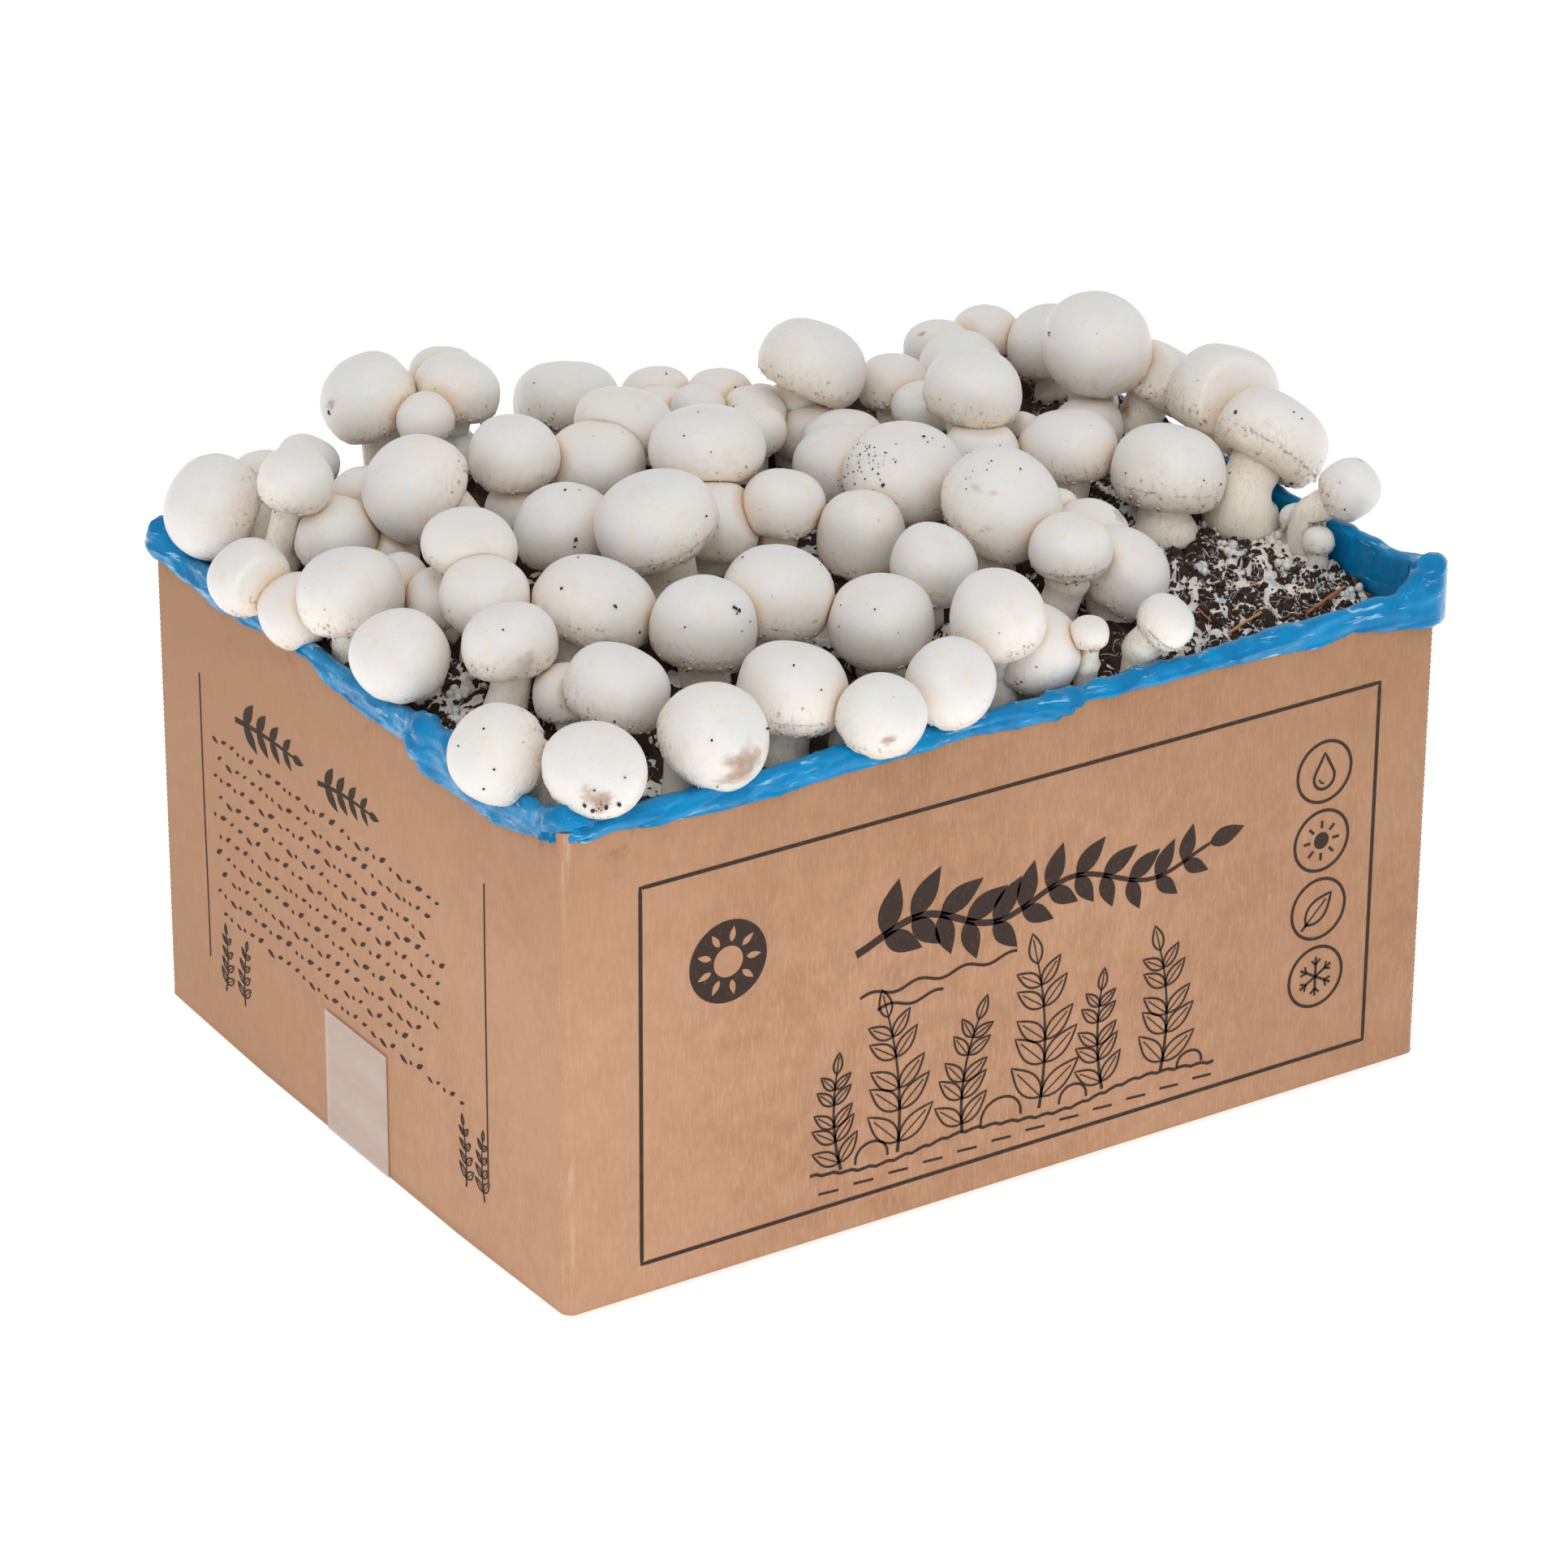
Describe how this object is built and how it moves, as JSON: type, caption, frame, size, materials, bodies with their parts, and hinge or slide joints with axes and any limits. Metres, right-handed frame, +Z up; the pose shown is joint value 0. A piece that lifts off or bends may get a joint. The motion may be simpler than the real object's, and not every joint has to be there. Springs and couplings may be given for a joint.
{
  "type": "mushroom grow kit",
  "caption": "Open-topped corrugated carton with a film liner folded over its rim, filled with compost and casing soil that button mushrooms grow from.",
  "frame": {"origin": "centre of the carton's base, on the surface it stands on", "axes": "+X along the carton's long side, to the right of the printed front; +Y from the front to the back; +Z up"},
  "size_m": [0.4417, 0.339, 0.2724],
  "materials": {
    "kraft_board": "matt brown corrugated board with dark one-colour print",
    "clear_tape": "clear glossy packing tape",
    "blue_film": "glossy blue film",
    "soil": "dark damp compost with white mycelium",
    "mushroom": "satin off-white skin"
  },
  "bodies": {
    "root": {"carton": "kraft_board", "tape": "clear_tape", "liner": "blue_film", "soil": "soil", "mushroom_01": "mushroom", "cluster_02": "mushroom", "mushroom_03": "mushroom", "mushroom_05": "mushroom", "mushroom_06": "mushroom", "mushroom_07": "mushroom", "cluster_08": "mushroom", "mushroom_20": "mushroom", "mushroom_70": "mushroom", "mushroom_75": "mushroom", "mushroom_74": "mushroom", "mushroom_09": "mushroom", "mushroom_10": "mushroom", "cluster_11": "mushroom", "cluster_15": "mushroom", "cluster_16": "mushroom", "mushroom_21": "mushroom", "cluster_22": "mushroom", "cluster_26": "mushroom", "cluster_28": "mushroom", "mushroom_29": "mushroom", "cluster_34": "mushroom", "cluster_36": "mushroom", "cluster_35": "mushroom", "cluster_42": "mushroom", "cluster_40": "mushroom", "mushroom_48": "mushroom", "mushroom_49": "mushroom", "mushroom_50": "mushroom", "mushroom_52": "mushroom", "mushroom_30": "mushroom", "mushroom_32": "mushroom", "mushroom_38": "mushroom", "mushroom_37": "mushroom", "mushroom_39": "mushroom", "mushroom_46": "mushroom", "mushroom_47": "mushroom", "mushroom_51": "mushroom", "mushroom_53": "mushroom", "mushroom_54": "mushroom", "cluster_55": "mushroom", "cluster_58": "mushroom", "mushroom_56": "mushroom", "mushroom_67": "mushroom", "mushroom_68": "mushroom", "mushroom_69": "mushroom", "cluster_71": "mushroom", "mushroom_66": "mushroom", "mushroom_73": "mushroom", "mushroom_65": "mushroom", "mushroom_63": "mushroom", "mushroom_62": "mushroom", "cluster_61": "mushroom", "mushroom_57": "mushroom", "mushroom_59": "mushroom", "mushroom_60": "mushroom"}
  },
  "joints": []
}
